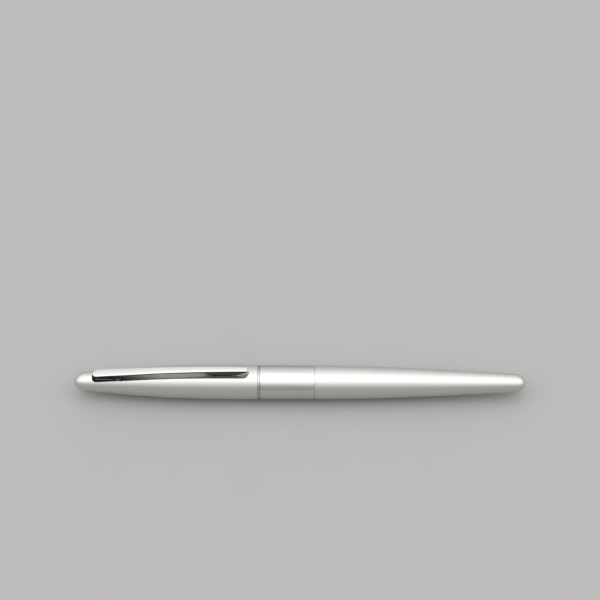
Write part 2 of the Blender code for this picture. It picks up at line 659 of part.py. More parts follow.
def main():
    clear_scene()
    home = new_collection("fountain_pen")
    guides = new_collection("cutters")

    satin = material("satin_steel", (0.60, 0.588, 0.572), 0.41, 1.0)
    polished = material("polished_steel", (0.60, 0.59, 0.575), 0.13, 1.0)
    chrome = material("chrome_clip", (0.62, 0.615, 0.605), 0.12, 1.0)
    ring_steel = material("ring_steel", (0.50, 0.49, 0.48), 0.16, 1.0)
    black = material("black_plastic", (0.012, 0.012, 0.013), 0.22, 0.0)
    liner = material("grey_plastic", (0.03, 0.03, 0.032), 0.45, 0.0)
    brass = material("brass", (0.78, 0.58, 0.28), 0.28, 1.0)
    nib_steel = material("nib_steel", (0.80, 0.79, 0.77), 0.14, 1.0)
    clear = material("clear_plastic", (0.92, 0.94, 0.95), 0.06, 0.0, 0.9)
    rubber = material("seal_rubber", (0.02, 0.02, 0.02), 0.6, 0.0)

    grip_body = empty("grip_body", home)
    liner_body = empty("liner_body", home, grip_body)
    cap_body = empty("cap_body", home, liner_body)
    clip_body = empty("clip_body", home, cap_body, (HINGE_X, 0.0, HINGE_Z))
    ring_body = empty("ring_body", home, grip_body)
    barrel_body = empty("barrel_body", home, ring_body)
    converter_body = empty("converter_body", home, grip_body)
    knob_body = empty("knob_body", home, converter_body)
    piston_body = empty("piston_body", home, converter_body)

    make_cap_shell(home, guides, satin, cap_body)
    make_clip_anchor(home, guides, liner, cap_body)
    make_clip(home, guides, chrome, clip_body)
    make_inner_cap(home, liner, liner_body)
    make_inner_cap_screw(home, nib_steel, liner_body)

    make_grip_section(home, black, grip_body)
    make_tube("clutch_ring", CLUTCH_TO, CLUTCH_FROM, CLUTCH_RADIUS, CLUTCH_RADIUS - 0.19, home, chrome,
              grip_body)
    make_thread_collar(home, brass, grip_body)
    make_nib(home, guides, nib_steel, grip_body)
    make_feed(home, guides, black, grip_body)
    make_tube("nib_housing", NIPPLE_FLANGE_FROM - 0.1, HOUSING_FROM, GRIP_BORE - FIT, HOUSING_BORE,
              home, black, grip_body)
    make_ink_nipple(home, black, grip_body)
    make_tube("trim_ring", SEAM_HALF - FIT, FIT - SEAM_HALF, TRIM_RADIUS, MALE_ROOT + FIT, home,
              ring_steel, ring_body, segments=OUTER_SEGMENTS)

    make_barrel_shell(home, satin, barrel_body)
    make_barrel_band(home, polished, barrel_body)
    make_barrel_bush(home, brass, barrel_body)

    make_converter_tube(home, clear, converter_body)
    make_converter_sleeve(home, chrome, converter_body)
    make_drive_nut(home, black, knob_body)
    make_converter_knob(home, black, knob_body)
    make_piston_seal(home, rubber, piston_body)
    make_piston_rod(home, liner, piston_body)


main()
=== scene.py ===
"""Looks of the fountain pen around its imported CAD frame.

The pen lies along X with its cap to -X and its clip up. The origin is on its axis, in the seam.
Lengths are in millimetres until MM makes them metres.
"""
import json
import math

import bmesh
import bpy
from mathutils import Matrix, Vector

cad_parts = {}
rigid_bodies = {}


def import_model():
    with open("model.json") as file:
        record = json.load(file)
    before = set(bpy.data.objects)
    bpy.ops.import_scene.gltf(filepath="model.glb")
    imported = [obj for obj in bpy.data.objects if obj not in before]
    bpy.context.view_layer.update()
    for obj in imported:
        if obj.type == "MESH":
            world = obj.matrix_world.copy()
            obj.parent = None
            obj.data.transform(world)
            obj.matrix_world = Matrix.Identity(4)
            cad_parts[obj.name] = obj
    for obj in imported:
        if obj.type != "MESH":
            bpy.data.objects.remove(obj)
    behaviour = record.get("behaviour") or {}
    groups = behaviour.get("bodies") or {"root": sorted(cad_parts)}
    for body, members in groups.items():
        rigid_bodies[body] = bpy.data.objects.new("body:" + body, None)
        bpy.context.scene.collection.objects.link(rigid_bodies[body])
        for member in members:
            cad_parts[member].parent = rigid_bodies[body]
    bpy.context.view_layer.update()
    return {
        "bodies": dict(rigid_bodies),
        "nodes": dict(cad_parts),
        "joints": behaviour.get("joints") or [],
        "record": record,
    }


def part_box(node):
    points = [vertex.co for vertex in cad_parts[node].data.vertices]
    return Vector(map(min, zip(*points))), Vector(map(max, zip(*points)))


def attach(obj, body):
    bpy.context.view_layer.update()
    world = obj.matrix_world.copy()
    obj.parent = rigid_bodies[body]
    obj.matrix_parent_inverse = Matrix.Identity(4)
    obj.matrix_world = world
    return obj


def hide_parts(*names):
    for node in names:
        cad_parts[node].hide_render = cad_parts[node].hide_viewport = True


MM = 0.001
# name of the face attribute that carries painted shade
PAINTED_SHADE_NAME = "painted_shade"

SEAM_HALF = 0.35             # the cap's mouth and the barrel's mouth stand this far from the origin
FIT = 0.06                   # working gap between pieces that slide or turn on each other

# Cap: its outer shape as (x, radius), then its wall as (x, thickness)
CAP_END = -56.5
CAP_TAPER = [(-53.2, 2.95), (-48.7, 3.33), (-39.5, 4.15), (-30.2, 4.80), (-21.0, 5.15), (-12.0, 5.29),
             (0.0, 5.31)]
CAP_WALL = [(-53.2, 0.90), (-43.4, 0.90), (-30.2, 0.72), (-18.0, 0.64), (-1.85, 0.62)]
CAP_DOME = 3.3
CAP_CROWN_WALL = 1.6
MOUTH_STEP = -1.85           # from here to the mouth the wall is thin, for the section's shoulder
MOUTH_WALL = 0.45

# Slot and flat under the clip
SLOT_FROM = -50.75
SLOT_TO = -42.2
SLOT_HALF_WIDTH = 2.05
SLOT_CORNER = 1.1
SLOT_LIP = 0.16              # radius of the slot's rounded rim
FLAT_FROM = -49.0
FLAT_WIDTH = [(-49.0, 1.70), (-46.0, 2.05), (-43.0, 2.18), (-36.0, 2.20), (-24.0, 2.16), (-3.0, 2.14)]
FLAT_ROUND = -4.7            # past this the flat narrows to nothing
FLAT_TO = -3.0
FLAT_CUT_HALF_WIDTH = 2.8    # the cutters reach past the cap's skin on both sides and above the clip
CUT_TOP = 8.0

# Clip: top line, half width and depth along it
CLIP_TOP = [(-50.9, 4.26), (-48.6, 4.56), (-39.4, 5.30), (-33.3, 5.86), (-27.2, 6.26), (-18.0, 6.62),
            (-8.0, 6.80), (-3.6, 6.76)]
CLIP_HALF_WIDTH = [(-50.9, 1.36), (-39.0, 1.27), (-27.0, 1.13), (-14.0, 0.98), (-5.4, 0.87), (-3.6, 0.84)]
CLIP_DEPTH = [(-51.0, 0.85), (-17.6, 0.85), (-16.0, 1.10), (-14.6, 1.46), (-13.0, 1.80), (-10.5, 1.84),
              (-7.6, 1.84), (-6.4, 1.70), (-5.4, 1.42), (-4.6, 1.12), (-3.9, 0.82), (-3.5, 0.62)]
CLIP_STRIP = 0.85
CLIP_END = -50.58
CLIP_END_RADIUS = 1.4
CLIP_TIP = -3.47
CLIP_TIP_RADIUS = 0.35
CLIP_SOFT = 0.15             # the clip's ends are rounded off over this length
CLIP_CROWN = 0.08
HINGE_X = -49.95
LEG_HALF_WIDTH = 0.85
LEG_MIDDLE = 2.15
LEG_THICKNESS = 0.4
LEG_BEND = 0.55
LEG_END = -44.65

# Painted shade on the clip's underside along x, standing in for the reflection of a dark tray under the pen;
# lower than the next height, all of it is painted dark
PAINTED_UNDERSIDE_SHADE = [(-51.0, 1.0), (-43.0, 1.0), (-39.0, 0.65), (-30.0, 0.0), (-17.5, 0.0), (-13.5, 1.0),
                   (-8.5, 1.0), (-5.5, 0.0)]
PAINTED_SHADE_BELOW = 3.2

# Anchor, liner and the screw between them
ANCHOR_FROM = CAP_END + 1.8
ANCHOR_HOLE_END = -48.0
LINER_MOUTH = -2.0
LINER_END = -43.6
LINER_END_WALL = 1.0
LINER_WALL = 0.36
SCREW_HOLE = 0.68
SCREW_RADIUS = 0.62
SCREW_ROOT = 0.52
SCREW_PITCH = 0.4
SCREW_HEAD_RADIUS = 1.3
SCREW_HEAD = 0.75
SCREW_TIP = -47.6

# Grip section, its clutch ring and the seam's ring
SHOULDER_RADIUS = 4.70
SHOULDER_END = -1.5
NECK_OF_GRIP = 4.12
GRIP_SHAPE = [(-4.5, 4.12), (-8.0, 4.03), (-12.5, 3.82), (-16.5, 3.73), (-19.0, 3.86)]
GRIP_NOSE = 1.5              # the section's front is rounded over this length
GRIP_BORE = 3.20
COUNTERBORE = 3.68
COUNTERBORE_END = -6.1
CLUTCH_FROM = -4.25
CLUTCH_TO = -2.95
CLUTCH_RADIUS = 4.19
CLUTCH_BORE = 4.0
TRIM_RADIUS = 5.13
TRIM_BORE = 3.76
TRIM_HALF = SEAM_HALF - FIT

# Thread between the section's collar and the barrel's bush
THREAD_PITCH = 0.8
THREAD_FROM = 3.2
THREAD_TO = 7.2
THREAD_FADE = 0.5
THREAD_ZONE = (2.9, 7.5)     # finely stepped stretch around the thread
MALE_ROOT = 3.70
MALE_DEPTH = 0.22
FEMALE_ROOT = 4.22
FEMALE_DEPTH = 0.20
COLLAR_FRONT = -6.0
COLLAR_SKIRT = 3.62          # radius of the collar inside the section
COLLAR_BORE = 3.28
COLLAR_END = 8.6
BUSH_RADIUS = 4.37
BUSH_FROM = 0.75
BUSH_END = 11.5

# Nib, feed and the pieces that hold them
NIB_TIP = -40.8
NIB_REAR = -12.0
NIB_RADIUS = 2.62
NIB_SHEET = 0.27
NIB_DROP = 1.25
NIB_STRAIGHT = -22.0         # in front of this the nib droops towards its tip
NIB_HALF_WIDTH = [(-40.8, 0.28), (-38.5, 0.72), (-34.0, 1.55), (-29.5, 2.28), (-26.0, 2.58), (-22.5, 2.50),
                  (-12.0, 2.45)]
BREATHER_X = -30.6
BREATHER_RADIUS = 0.62
FEED_HALF_WIDTH = [(-37.4, 0.45), (-34.5, 0.95), (-30.0, 1.55), (-25.0, 2.05), (-21.0, 2.24), (-11.0, 2.24)]
FEED_DEPTH = [(-37.4, 0.35), (-34.5, 1.00), (-30.0, 1.75), (-25.0, 2.35), (-21.0, 2.58), (-11.0, 2.58)]
FEED_STRAIGHT = -21.0        # in front of this the feed's belly rises towards its tip
FIN_COUNT = 8
FIN_FIRST = -22.8
FIN_PITCH = 1.35
FIN_GAP = 0.5
FIN_DEPTH = 0.85
SLEEVE_RADIUS = 3.14         # outer radius of what sits in the section's bore
HOUSING_FROM = -20.1
HOUSING_TO = -10.9
HOUSING_BORE = 2.70
NIPPLE_TIP = -5.6
NIPPLE_RADIUS = 1.25
NIPPLE_BORE = 0.6
NIPPLE_FLANGE_FROM = -10.8
NIPPLE_FLANGE_TO = -9.6

# Barrel: its outer shape as (x, radius), then the band and the neck that it sits on
BARREL_TAPER = [(0.0, 5.29), (17.5, 5.21), (31.0, 5.02), (43.3, 4.62), (55.6, 4.10), (67.9, 3.45),
                (78.4, 2.80)]
BARREL_DOME = 3.1
BARREL_WALL = 0.55
BARREL_BORE = 4.43
BORE_STRAIGHT = 32.0         # up to here the bore is a plain tube
BORE_END = 79.3
BAND_END = 16.95
BAND_BORE = 4.93
NECK_FROM = 0.45
NECK_TO = 17.01
NECK_RADIUS = 4.87

# Converter
TUBE_FRONT = -8.4
TUBE_END = 22.0
TUBE_RADIUS = 3.10
TUBE_MOUTH = 1.31
MOUTH_END = -6.2             # the tube's front wall ends here
RESERVOIR_RADIUS = 2.50
SLEEVE_FROM = 13.0
SLEEVE_TO = 25.5
NUT_FROM = 22.3
NUT_TO = 27.1
NUT_RADIUS = 2.95
NUT_NECK_RADIUS = 2.20
KNOB_FROM = 25.8
KNOB_END = 46.6
KNOB_RADIUS = 2.88
FLUTES = (26.6, 45.2)        # from where to where the knob is fluted
FLUTE_COUNT = 24
FLUTE_DEPTH = 0.16
SEAL_RADIUS = 2.44
SEAL_WAIST = 2.09
ROD_HEAD_RADIUS = 1.62
ROD_END = 24.6

# Look: the noise values between which a surface's colour and gloss change
NOISE_RANGE = (0.3, 0.7)


def smooth(points, x):
    """Height at x of the smooth curve through a few (x, height) points, straight beyond its ends."""
    slopes = [(b[1] - a[1]) / (b[0] - a[0]) for a, b in zip(points, points[1:])]
    tangents = [slopes[0]] + [(a + b) / 2 for a, b in zip(slopes, slopes[1:])] + [slopes[-1]]
    if x <= points[0][0]:
        return points[0][1] + tangents[0] * (x - points[0][0])
    for i, (a, b) in enumerate(zip(points, points[1:])):
        if x <= b[0]:
            break
    else:
        return points[-1][1] + tangents[-1] * (x - points[-1][0])
    span = b[0] - a[0]
    t = (x - a[0]) / span
    rise = (2 * t ** 3 - 3 * t ** 2 + 1) * a[1] + (3 * t ** 2 - 2 * t ** 3) * b[1]
    lean = (t ** 3 - 2 * t ** 2 + t) * tangents[i] + (t ** 3 - t ** 2) * tangents[i + 1]
    return rise + lean * span


def steps(start, end, count):
    """Evenly spaced values from start to end, both included."""
    return [start + (end - start) * i / count for i in range(count + 1)]


def cap_radius(x):
    return smooth(CAP_TAPER, x)


def cap_bore(x):
    return cap_radius(x) - smooth(CAP_WALL, x)


def barrel_radius(x):
    return smooth(BARREL_TAPER, x)


def dome(radius_at, edge, length, count=22):
    """Round end of a tapered tube, from just past its edge to its tip on the axis."""
    points = []
    for i in range(1, count):
        angle = math.pi / 2 * i / count
        x = edge + length * math.sin(angle)
        points.append((x, radius_at(x) * math.cos(angle)))
    return points + [(edge + length, 0.0)]


def rounded(points, closed=True, count=4):
    """Outline with its corners rounded: a corner is (u, v) or, with a fillet, (u, v, radius)."""
    out = []
    for i, point in enumerate(points):
        here = Vector(point[:2])
        if len(point) < 3 or (not closed and i in (0, len(points) - 1)):
            out.append(tuple(here))
            continue
        back = Vector(points[i - 1][:2]) - here
        ahead = Vector(points[(i + 1) % len(points)][:2]) - here
        half = back.angle(ahead) / 2
        reach = min(point[2] / math.tan(half), 0.49 * back.length, 0.49 * ahead.length)
        radius = reach * math.tan(half)
        centre = here + (back.normalized() + ahead.normalized()).normalized() * (radius / math.sin(half))
        first = here + back.normalized() * reach - centre
        last = here + ahead.normalized() * reach - centre
        sweep = math.pi - 2 * half
        for k in range(count + 1):
            t = k / count
            spoke = (first * math.sin((1 - t) * sweep) + last * math.sin(t * sweep)) / math.sin(sweep)
            out.append(tuple(centre + spoke))
    return out


def as_object(name, verts, faces, sharp=32.0, weighted=True):
    """Closed mesh object from points in millimetres, its faces turned outward and shaded smooth."""
    mesh = bpy.data.meshes.new(name)
    mesh.from_pydata([Vector(vert) * MM for vert in verts], [], faces)
    frame = bmesh.new()
    frame.from_mesh(mesh)
    bmesh.ops.recalc_face_normals(frame, faces=frame.faces)
    frame.to_mesh(mesh)
    frame.free()
    obj = bpy.data.objects.new(name, mesh)
    bpy.context.scene.collection.objects.link(obj)
    shade(obj, sharp, weighted)
    return obj


def shade(obj, sharp=32.0, weighted=True):
    """Smooth shading that keeps edges above an angle sharp and flat areas flat."""
    obj.data.shade_smooth()
    obj.data.set_sharp_from_angle(angle=math.radians(sharp))
    if weighted and "Flat areas" not in obj.modifiers:
        weight = obj.modifiers.new("Flat areas", "WEIGHTED_NORMAL")
        weight.keep_sharp = True


def lathe(name, profile, segments=144, ring=True, relief=None, sharp=32.0):
    """Turned piece about the pen's axis; relief(x, radius, angle) may add to the radius."""
    verts = []
    faces = []
    rows = []
    for x, radius in profile:
        if radius < 1e-6:
            rows.append([len(verts)] * segments)
            verts.append((x, 0.0, 0.0))
            continue
        row = []
        for i in range(segments):
            angle = 2 * math.pi * i / segments
            here = radius + (relief(x, radius, angle) if relief else 0.0)
            row.append(len(verts))
            verts.append((x, here * math.cos(angle), here * math.sin(angle)))
        rows.append(row)
    pairs = list(zip(rows, rows[1:]))
    if ring:
        pairs.append((rows[-1], rows[0]))
    for low, high in pairs:
        for i in range(segments):
            j = (i + 1) % segments
            corners = []
            for corner in (low[i], low[j], high[j], high[i]):
                if corner not in corners:
                    corners.append(corner)
            if len(corners) > 2:
                faces.append(corners)
    return as_object(name, verts, faces, sharp)


def loft(name, sections, sharp=32.0):
    """Closed piece through a row of sections with the same number of points."""
    count = len(sections[0])
    verts = [point for section in sections for point in section]
    faces = []
    for row in range(len(sections) - 1):
        for i in range(count):
            j = (i + 1) % count
            base = row * count
            faces.append((base + i, base + j, base + count + j, base + count + i))
    faces.append(tuple(range(count)))
    faces.append(tuple(range(len(verts) - count, len(verts))))
    return as_object(name, verts, faces, sharp)


def combine(obj, other, operation):
    """Apply a Boolean of obj with other and drop other."""
    cut = obj.modifiers.new("Combine", "BOOLEAN")
    cut.operation = operation
    cut.solver = "EXACT"
    cut.object = other
    apply_modifiers(obj)
    bpy.data.objects.remove(other, do_unlink=True)
    return obj


def apply_modifiers(obj):
    """Bake an object's modifiers into its mesh."""
    graph = bpy.context.evaluated_depsgraph_get()
    baked = bpy.data.meshes.new_from_object(obj.evaluated_get(graph))
    obj.modifiers.clear()
    obj.data = baked
    shade(obj)


def node_material(name):
    """Empty node material with its output and Principled shader."""
    made = bpy.data.materials.new(name)
    made.use_nodes = True
    nodes = made.node_tree.nodes
    return made, nodes, made.node_tree.links, nodes["Principled BSDF"]


def paint_shade(obj, test):
    """Paint shade on faces: give each face a weight from 0 to 1 by test(centre in millimetres, normal), by
    which its material darkens it.
    """
    attribute = obj.data.attributes.new(PAINTED_SHADE_NAME, "FLOAT", "FACE")
    for face in obj.data.polygons:
        attribute.data[face.index].value = test(face.center / MM, face.normal)


def surface(name, colour, roughness, metallic=1.0, stretch=(900, 900, 900), tint=0.03, wear=0.03, bump=0.0,
            painted_shade=None, **sockets):
    """Procedural material: one stretched noise varies its colour by tint, its gloss by wear and its relief.

    The painted-shade argument, (share of the colour, roughness), is painted shade: the look of the faces that
    were given a 1.
    """
    made, nodes, links, shader = node_material(name)
    shader.inputs["Metallic"].default_value = metallic
    for socket, value in sockets.items():
        shader.inputs[socket.replace("_", " ")].default_value = value
    place = nodes.new("ShaderNodeTexCoord")
    mapping = nodes.new("ShaderNodeMapping")
    mapping.inputs["Scale"].default_value = stretch
    noise = nodes.new("ShaderNodeTexNoise")
    noise.inputs["Scale"].default_value = 1.0
    noise.inputs["Detail"].default_value = 3.0
    links.new(place.outputs["Object"], mapping.inputs["Vector"])
    links.new(mapping.outputs["Vector"], noise.inputs["Vector"])
    shades = nodes.new("ShaderNodeValToRGB")
    shades.color_ramp.elements[0].position = NOISE_RANGE[0]
    shades.color_ramp.elements[1].position = NOISE_RANGE[1]
    shades.color_ramp.elements[0].color = (*[channel * (1 - tint) for channel in colour], 1.0)
    shades.color_ramp.elements[1].color = (*[min(1.0, channel * (1 + tint)) for channel in colour], 1.0)
    links.new(noise.outputs["Fac"], shades.inputs["Fac"])
    gloss = nodes.new("ShaderNodeMapRange")
    gloss.inputs["From Min"].default_value = NOISE_RANGE[0]
    gloss.inputs["From Max"].default_value = NOISE_RANGE[1]
    gloss.inputs["To Min"].default_value = max(0.0, roughness - wear)
    gloss.inputs["To Max"].default_value = roughness + wear
    links.new(noise.outputs["Fac"], gloss.inputs["Value"])
    # painted shade: darken the colour of the faces by their painted-shade weight
    if painted_shade:
        painted_shade_weight = nodes.new("ShaderNodeAttribute")
        painted_shade_weight.attribute_name = PAINTED_SHADE_NAME
        painted_shade_mix = nodes.new("ShaderNodeMix")
        painted_shade_mix.data_type = "RGBA"
        painted_shade_mix.blend_type = "MULTIPLY"
        painted_shade_mix.inputs["B"].default_value = (painted_shade[0], painted_shade[0], painted_shade[0], 1.0)
        links.new(painted_shade_weight.outputs["Fac"], painted_shade_mix.inputs["Factor"])
        links.new(shades.outputs["Color"], painted_shade_mix.inputs["A"])
        links.new(painted_shade_mix.outputs["Result"], shader.inputs["Base Color"])
        dull = nodes.new("ShaderNodeMix")
        dull.inputs["B"].default_value = painted_shade[1]
        links.new(painted_shade_weight.outputs["Fac"], dull.inputs["Factor"])
        links.new(gloss.outputs["Result"], dull.inputs["A"])
        links.new(dull.outputs["Result"], shader.inputs["Roughness"])
    else:
        links.new(shades.outputs["Color"], shader.inputs["Base Color"])
        links.new(gloss.outputs["Result"], shader.inputs["Roughness"])
    if bump:
        relief = nodes.new("ShaderNodeBump")
        relief.inputs["Strength"].default_value = bump
        relief.inputs["Distance"].default_value = 0.02 * MM
        links.new(noise.outputs["Fac"], relief.inputs["Height"])
        links.new(relief.outputs["Normal"], shader.inputs["Normal"])
    return made


def show(obj, node, body, mat):
    """Give a finished piece its material, body, slot and the CAD node that it stands for."""
    obj.data.materials.clear()
    obj.data.materials.append(mat)
    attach(obj, body)
    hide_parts(node)
    return obj


# ---------------------------------------------------------------- cap


def flat_floor(x):
    """Height of the flat under the clip: a chord of the cap that narrows to nothing past the clip's tip."""
    half = smooth(FLAT_WIDTH, x)
    if x > FLAT_ROUND:
        half *= math.sqrt(max(0.0, 1.0 - ((x - FLAT_ROUND) / (FLAT_TO - FLAT_ROUND)) ** 2))
    return math.sqrt(cap_radius(x) ** 2 - half ** 2)


def cap_top(x, y):
    """Height of the cap's top at a point in plan."""
    skin = math.sqrt(max(0.0, cap_radius(x) ** 2 - y ** 2))
    return min(skin, flat_floor(x)) if FLAT_FROM < x < FLAT_TO else skin


def slot_outline(grow, count=14):
    """Rounded rectangle of the slot in plan, pushed outward by grow."""
    points = []
    corner = SLOT_CORNER + grow
    for sx, sy, first in ((1, 1, 0), (-1, 1, 1), (-1, -1, 2), (1, -1, 3)):
        cx = (SLOT_TO - SLOT_CORNER) if sx > 0 else (SLOT_FROM + SLOT_CORNER)
        cy = sy * (SLOT_HALF_WIDTH - SLOT_CORNER)
        for i in range(count + 1):
            angle = math.pi / 2 * (first + i / count)
            points.append((cx + corner * math.cos(angle), cy + corner * math.sin(angle)))
    longest = 0.35
    dense = []
    for a, b in zip(points, points[1:] + points[:1]):
        pieces = max(1, round(math.dist(a, b) / longest))
        for k in range(pieces):
            dense.append((a[0] + (b[0] - a[0]) * k / pieces, a[1] + (b[1] - a[1]) * k / pieces))
    return dense


def slot_cutter(arc=6, clear=0.05):
    """Cutter for the slot whose upper wall flares into a rounded lip that follows the cap's surface."""
    slot_floor = 1.0
    rings = [[(x, y, slot_floor) for x, y in slot_outline(0.0)]]
    for i in range(arc + 1):
        angle = math.pi / 2 * i / arc
        grow = SLOT_LIP * (1 - math.cos(angle))
        drop = SLOT_LIP * (1 - math.sin(angle))
        rings.append([(x, y, cap_top(x, y) - drop) for x, y in slot_outline(grow)])
    rings.append([(x, y, cap_top(x, y) + clear) for x, y in slot_outline(SLOT_LIP + clear)])
    rings.append([(x, y, CUT_TOP) for x, y in slot_outline(SLOT_LIP + clear)])
    count = min(len(ring) for ring in rings)
    return loft("slot_cutter", [ring[:count] for ring in rings])


def flat_cutter():
    """Cutter for the flat: wider than the flat everywhere, with its floor at the flat's height."""
    stations = steps(FLAT_FROM, FLAT_ROUND, 80)
    stations += [FLAT_ROUND + (FLAT_TO - FLAT_ROUND) * math.sin(t) for t in steps(0.0, math.pi / 2, 20)[1:]]
    floors = [(x, flat_floor(x)) for x in stations] + [(FLAT_TO + 0.3, cap_radius(FLAT_TO) + 0.1)]
    side = FLAT_CUT_HALF_WIDTH
    return loft("flat_cutter",
                [[(x, -side, z), (x, side, z), (x, side, CUT_TOP), (x, -side, CUT_TOP)] for x, z in floors])


def crease(obj, test):
    """Sharpen the border of the faces for which test(centre in millimetres, normal) holds."""
    frame = bmesh.new()
    frame.from_mesh(obj.data)
    inside = {face for face in frame.faces if test(face.calc_center_median() / MM, face.normal)}
    for edge in frame.edges:
        if len({face in inside for face in edge.link_faces}) == 2:
            edge.smooth = False
    frame.to_mesh(obj.data)
    frame.free()


def on_flat(centre, normal):
    """Whether a face of the cap belongs to the flat."""
    near = FLAT_FROM < centre.x < FLAT_TO and abs(normal.y) < 0.008
    return near and abs(centre.z - flat_floor(centre.x)) < 0.02


def slot_wall(centre, normal):
    """Whether a face of the cap belongs to the slot's upright walls, which are painted dark as shade."""
    inside = SLOT_FROM - 0.2 < centre.x < SLOT_TO + 0.2 and abs(centre.y) < SLOT_HALF_WIDTH + 0.1
    return inside and centre.z > 1.0 and abs(normal.z) < 0.5


def make_cap(satin, polished):
    """Satin cap with a domed crown, the clip's slot with a rounded lip and the flat under the clip."""
    mouth = -SEAM_HALF
    edge = CAP_TAPER[0][0]
    crown = CAP_END + CAP_CROWN_WALL
    inner = [(crown, 0.0)] + [(x, cap_bore(x)) for x in steps(crown, MOUTH_STEP, 30)]
    inner += [(MOUTH_STEP, cap_radius(MOUTH_STEP) - MOUTH_WALL),
              (mouth, cap_radius(mouth) - MOUTH_WALL, 0.06)]
    outer = [(mouth, cap_radius(mouth), 0.15)]
    outer += [(x, cap_radius(x)) for x in steps(-0.8, edge, 96)]
    outer += dome(cap_radius, edge, -CAP_DOME)
    shell = lathe("cap_skin", rounded(inner + outer, closed=False), segments=192, ring=False)
    combine(shell, flat_cutter(), "DIFFERENCE")
    combine(shell, slot_cutter(), "DIFFERENCE")
    crease(shell, on_flat)
    # painted shade on the slot's upright walls
    paint_shade(shell, slot_wall)
    show(shell, "cap_shell", "cap", satin)
    shell.data.materials.append(polished)
    for face in shell.data.polygons:
        face.material_index = int(on_flat(face.center / MM, face.normal))


def make_anchor(mat):
    """Plug in the crown that carries the clip's inner leg and takes the liner's screw."""
    right = LINER_END - FIT
    left = ANCHOR_FROM
    outer = [(x, cap_bore(x) - FIT) for x in steps(right - 0.1, left + 0.1, 12)]
    profile = [(ANCHOR_HOLE_END, 0.0), (ANCHOR_HOLE_END, SCREW_HOLE), (right, SCREW_HOLE),
               (right, cap_bore(right) - FIT - 0.1)]
    profile += outer + [(left, cap_bore(left) - FIT - 0.2), (left, 0.0)]
    plug = lathe("anchor_plug", profile, segments=96, ring=False)
    low = (SLOT_FROM - 0.3, -5.0, LEG_MIDDLE - LEG_THICKNESS / 2 - FIT)
    high = (right + 1, 5.0, 6.0)
    combine(plug, box_piece("anchor_cutter", low, high), "DIFFERENCE")
    show(plug, "clip_anchor", "cap", mat)


def box_piece(name, low, high):
    """Plain box from corner to corner."""
    verts = [(x, y, z) for x in (low[0], high[0]) for y in (low[1], high[1]) for z in (low[2], high[2])]
    faces = [(0, 1, 3, 2), (4, 6, 7, 5), (0, 4, 5, 1), (2, 3, 7, 6), (0, 2, 6, 4), (1, 5, 7, 3)]
    return as_object(name, verts, faces)


# ---------------------------------------------------------------- clip


def end_share(distance, radius):
    """Share of full width left at a distance from a round end, from 0 at the end to 1 past its radius."""
    return math.sqrt(max(0.0, 1.0 - max(0.0, 1.0 - distance / radius) ** 2))


def clip_section(x):
    """Clip at x: a crowned strip with soft edges and round ends, keeled where the runner hangs from it."""
    half = smooth(CLIP_HALF_WIDTH, x) * end_share(x - CLIP_END, CLIP_END_RADIUS)
    tip = CLIP_TIP - x
    half -= CLIP_TIP_RADIUS * (1.0 - end_share(tip, CLIP_TIP_RADIUS))
    ease = 1.0 - min(end_share(x - CLIP_END, CLIP_SOFT), end_share(tip, CLIP_SOFT))
    top = smooth(CLIP_TOP, x) - CLIP_SOFT * ease
    depth = smooth(CLIP_DEPTH, x)
    foot = smooth(CLIP_TOP, x) - depth + 0.1 * ease
    scale = min(1.0, half / 0.5)
    keel = (0.05 + 0.25 * (depth - CLIP_STRIP)) * scale
    crown = []
    for t in steps(-0.86, 0.86, 12)[1:-1]:
        crown.append((half * t, top + CLIP_CROWN * scale * (1 - t ** 2)))
    near = [(-half + keel + 0.04 * scale, foot, 0.10), (-half, foot + 0.14 * scale, 0.06), (-half, top, 0.14)]
    far = [(-point[0], point[1], point[2]) for point in reversed(near)]
    outline = rounded(near + crown + far)
    return [(x, y, z) for y, z in outline]


def clip_stations():
    """Stations along the clip, closer together at its ends."""
    close = [0.012, 0.04, 0.09, 0.16, 0.26, 0.4, 0.56, 0.75, 1.0, 1.3]
    left = [CLIP_END + d for d in close]
    right = [CLIP_TIP - d for d in close]
    return left + steps(left[-1], right[-1], 110)[1:-1] + right[::-1]


def painted_clip_shade(centre, normal):
    """Painted shade on a face of the clip, from 0 to 1: the sides and leg fully, the top not, the underside by
    the painted underside table.
    """
    upright = 0.6
    if normal.z > upright:
        return 0.0
    if normal.z > -upright or centre.z < PAINTED_SHADE_BELOW:
        return 1.0
    for (left, dark), (right, darker) in zip(PAINTED_UNDERSIDE_SHADE, PAINTED_UNDERSIDE_SHADE[1:]):
        if left < centre.x < right:
            return dark + (darker - dark) * (centre.x - left) / (right - left)
    return 0.0


def make_clip(mat):
    """Bright clip with its inner leg bent through the slot."""
    strip = loft("clip_strip", [clip_section(x) for x in clip_stations()], sharp=40.0)
    path = [(HINGE_X, smooth(CLIP_TOP, HINGE_X) - 0.25), (HINGE_X, LEG_MIDDLE + LEG_BEND)]
    for angle in steps(0.0, math.pi / 2, 8)[1:]:
        path.append((HINGE_X + LEG_BEND * (1 - math.cos(angle)),
                     LEG_MIDDLE + LEG_BEND * (1 - math.sin(angle))))
    path += [(x, LEG_MIDDLE) for x in steps(HINGE_X + LEG_BEND + 0.5, LEG_END, 8)]
    half = LEG_THICKNESS / 2 - 0.01
    corners = [(y, side * half, 0.08) for y, side in ((-LEG_HALF_WIDTH, -1), (LEG_HALF_WIDTH, -1),
                                                      (LEG_HALF_WIDTH, 1), (-LEG_HALF_WIDTH, 1))]
    sections = []
    for i, (x, z) in enumerate(path):
        back, ahead = path[max(0, i - 1)], path[min(len(path) - 1, i + 1)]
        along = Vector((ahead[0] - back[0], ahead[1] - back[1])).normalized()
        sections.append([(x - along.y * v, y, z + along.x * v) for y, v in rounded(corners)])
    combine(strip, loft("clip_leg", sections), "UNION")
    # painted shade: the clip's sides, its inner leg and stretches of its underside are darkened in the chrome's
    # colour
    paint_shade(strip, painted_clip_shade)
    show(strip, "clip", "clip", mat)


# ---------------------------------------------------------------- liner


